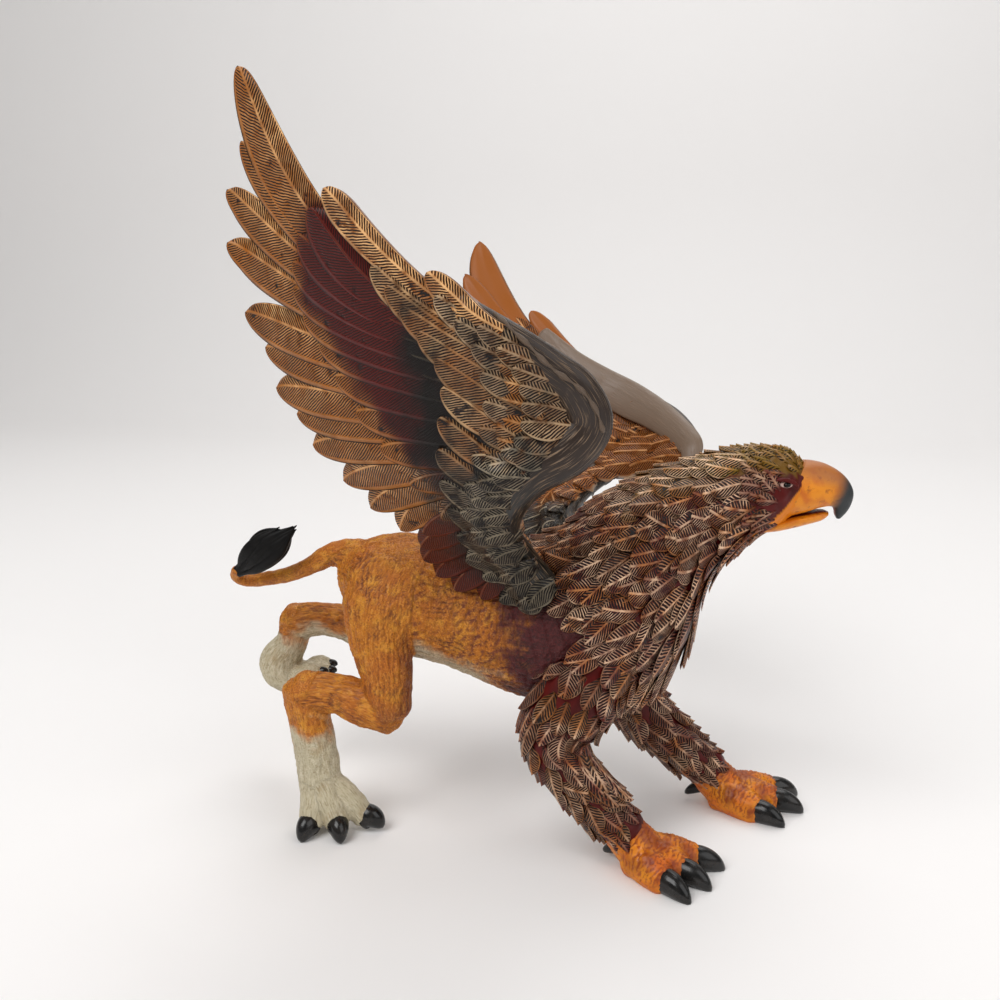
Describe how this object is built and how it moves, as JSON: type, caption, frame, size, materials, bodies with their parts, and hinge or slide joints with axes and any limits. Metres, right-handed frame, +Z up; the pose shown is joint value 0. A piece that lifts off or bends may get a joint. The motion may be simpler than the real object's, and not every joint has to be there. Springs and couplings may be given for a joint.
{
  "type": "griffin figurine",
  "caption": "Painted plastic griffin figurine, walking with raised wings: eagle head, feathered breast and forefeet, lion body with a tufted tail.",
  "frame": {"origin": "middle of the bounding box's underside, on the surface that the figurine stands on", "axes": "+X the way the griffin faces, +Y its left side, +Z up"},
  "size_m": [0.1278, 0.1258, 0.148],
  "materials": {
    "body": "satin hand-painted over moulded plastic",
    "wings": "satin hand-painted over moulded plastic, bronze dry brushing"
  },
  "bodies": {
    "root": {"body": "body", "wing_right": "wings", "wing_left": "wings"}
  },
  "joints": []
}
